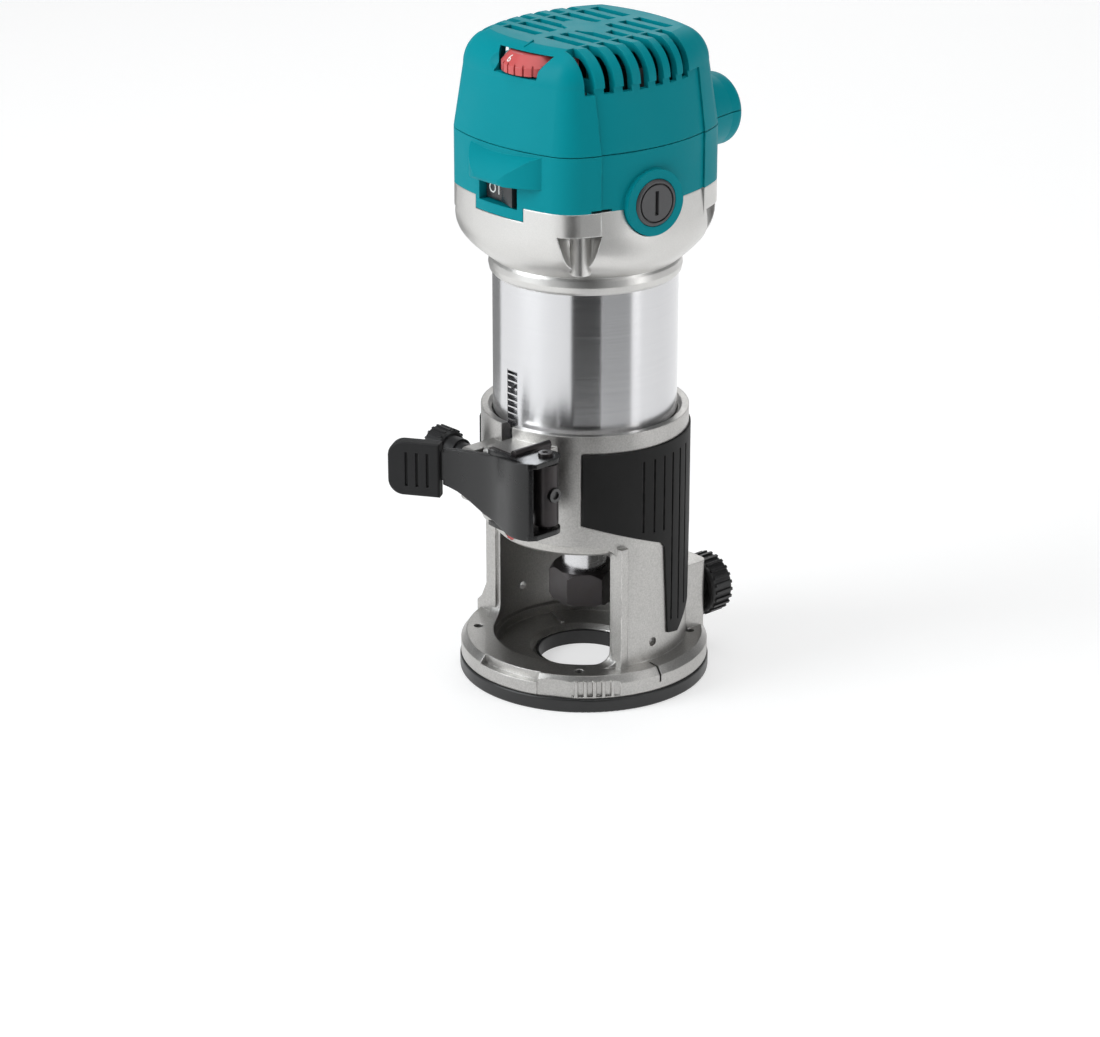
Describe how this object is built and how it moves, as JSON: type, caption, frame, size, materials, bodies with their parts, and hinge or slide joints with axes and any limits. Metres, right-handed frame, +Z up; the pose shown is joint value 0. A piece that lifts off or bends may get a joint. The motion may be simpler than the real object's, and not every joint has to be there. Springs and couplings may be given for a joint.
{
  "type": "trim router",
  "caption": "Compact trim router with a round motor barrel, square vented head, clamp-lever base, rack depth adjuster, rubber side grips and round sole plate.",
  "frame": {"origin": "centre of the sole plate's opening, at the sole", "axes": "+Z up along the spindle axis, -Y towards the power switch and speed dial, +X the right side"},
  "size_m": [0.09, 0.126, 0.2354],
  "materials": {
    "cast_aluminium": "fine sand-cast texture, satin",
    "satin_aluminium": "smooth die-cast, bead-blasted satin",
    "turned_aluminium": "turned bright, fine rings",
    "black_plastic": "fine texture",
    "switch_black": "smooth, white marks",
    "soft_black": "soft matte",
    "grip_rubber": "soft matte, grooved",
    "black_lacquer": "gloss black on pressed steel",
    "black_steel": "black oxide",
    "dark_steel": "black-zinc plated",
    "bright_steel": "ground",
    "bronze": "sintered bronze",
    "pale_plastic": "fine texture",
    "red_plastic": "smooth moulded",
    "teal_plastic": "satin moulded, fine grain",
    "grey_plastic": "fine texture",
    "core_steel": "stacked laminations",
    "copper_wire": "enamelled",
    "brass_parts": "stamped",
    "carbon": "pressed carbon",
    "board_green": "coated laminate",
    "wire_sheath": "insulated wire"
  },
  "bodies": {
    "base": {"base_casting": "cast_aluminium", "base_plate": "black_plastic", "base_plate_screws": "dark_steel", "grip_right": "grip_rubber", "grip_left": "grip_rubber", "pinion_bush": "bronze", "clamp_bolt": "dark_steel", "clamp_nut": "dark_steel", "clamp_saddle": "black_steel", "lever_pivot_pin": "black_steel"},
    "clamp_lever": {"lever_channel": "black_lacquer", "lever_thumb_pad": "soft_black"},
    "depth_pinion": {"pinion_shaft": "bright_steel", "pinion_knob": "black_plastic"},
    "guide_clamp": {"guide_clamp_stud": "bright_steel", "guide_clamp_knob": "black_plastic"},
    "motor": {"barrel_tube": "turned_aluminium", "nose_bracket": "pale_plastic", "depth_rack": "turned_aluminium", "rack_screws": "dark_steel", "lower_bearing": "bright_steel", "stator_core": "core_steel", "field_coils": "copper_wire", "air_baffle": "black_plastic", "motor_bracket": "satin_aluminium", "bracket_screws": "dark_steel", "lower_housing": "teal_plastic", "top_cover": "teal_plastic", "cord_inlet_ring": "black_plastic", "cord_clamp": "black_plastic", "cord_clamp_screws": "dark_steel", "brush_holders": "brass_parts", "carbon_brushes": "carbon", "brush_springs": "bright_steel", "brush_caps": "grey_plastic", "switch_body": "black_plastic", "controller_board": "board_green", "board_parts": "grey_plastic", "dial_pot": "grey_plastic", "bearing_bridge": "black_plastic", "upper_bearing": "bright_steel", "motor_leads": "wire_sheath"},
    "power_switch": {"switch_rocker": "switch_black"},
    "speed_wheel": {"speed_dial": "red_plastic"},
    "shaft_lock": {"shaft_lock_button": "red_plastic", "shaft_lock_spring": "bright_steel"},
    "spindle": {"spindle_shaft": "bright_steel", "armature_core": "core_steel", "armature_windings": "copper_wire", "commutator": "copper_wire", "cooling_fan": "grey_plastic", "collet_nut": "black_steel", "collet_cone": "dark_steel"}
  },
  "joints": [
    {"name": "depth_slide", "type": "slide", "parent": "base", "child": "motor", "axis": [0, 0, 1], "range_m": [-0.025, 0.015]},
    {"name": "pinion_turn", "type": "hinge", "parent": "base", "child": "depth_pinion", "pos_m": [0, -0.0351, 0.083], "axis": [1, 0, 0], "range_deg": [-385, 232]},
    {"name": "clamp_lever_swing", "type": "hinge", "parent": "base", "child": "clamp_lever", "pos_m": [0.0277, -0.0435, 0.085], "axis": [0, 0, 1], "range_deg": [0, 95]},
    {"name": "guide_clamp_turn", "type": "hinge", "parent": "base", "child": "guide_clamp", "pos_m": [0.0172, 0.043, 0.0244], "axis": [0, 1, 0], "range_deg": [-180, 540]},
    {"name": "power_switch_tip", "type": "hinge", "parent": "motor", "child": "power_switch", "pos_m": [0.001, -0.0376, 0.1853], "axis": [0, 0, 1], "range_deg": [0, 16]},
    {"name": "speed_dial_turn", "type": "hinge", "parent": "motor", "child": "speed_wheel", "pos_m": [0.0055, -0.026, 0.229], "axis": [0, 0, 1], "range_deg": [0, 270]},
    {"name": "shaft_lock_press", "type": "slide", "parent": "motor", "child": "shaft_lock", "axis": [0, 1, 0], "range_m": [0, 0.003], "stiffness_N_per_m": 800, "springref_m": -0.001},
    {"name": "spindle_spin", "type": "hinge", "parent": "motor", "child": "spindle", "pos_m": [0, 0, 0.1], "axis": [0, 0, 1], "continuous": true}
  ],
  "couplings": [
    {"joint": "pinion_turn", "follows": "depth_slide", "rad_per_m": 266.67}
  ]
}
